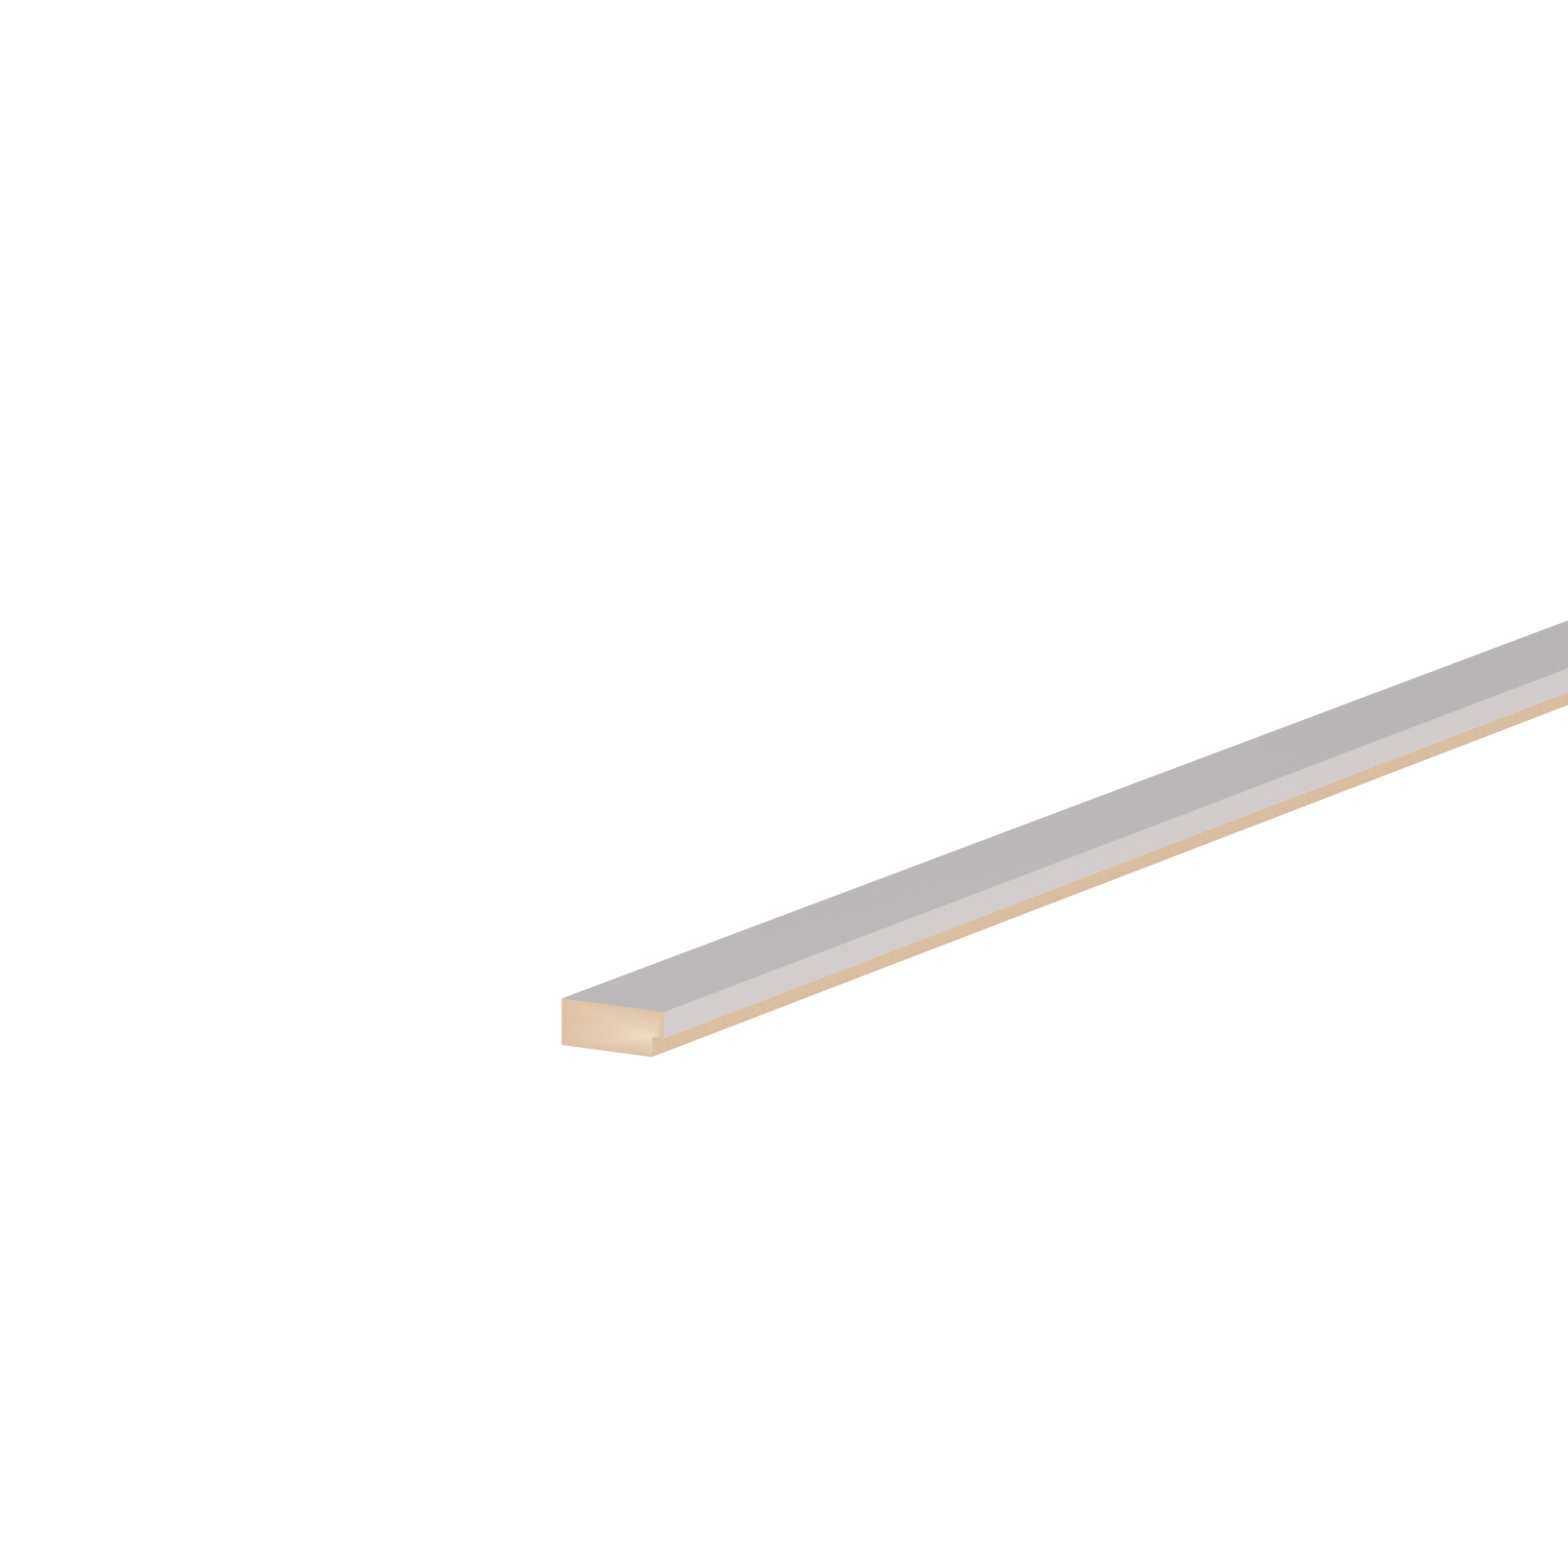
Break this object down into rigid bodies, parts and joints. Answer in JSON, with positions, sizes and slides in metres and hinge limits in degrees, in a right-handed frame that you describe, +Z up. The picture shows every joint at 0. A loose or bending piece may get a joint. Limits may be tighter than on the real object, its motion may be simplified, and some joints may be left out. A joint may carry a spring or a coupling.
{
  "type": "corner moulding",
  "caption": "Straight length of flat rebated wood moulding with a silver-grey coated face and lip, bare pale wood in the rebate and on the square-cut ends.",
  "frame": {"origin": "at the bottom of the moulding, in the middle of its length and of its overall width", "axes": "+X along the length, +Y towards the outer side, -Y towards the lip and rebate, +Z up through the decorative face"},
  "size_m": [1, 0.052, 0.021],
  "materials": {
    "coated_wood": "satin silver-grey coat on the face, the lip's edge and the outer side; bare pale wood on the underside, in the rebate and on the sawn ends"
  },
  "bodies": {
    "root": {"moulding": "coated_wood"}
  },
  "joints": []
}
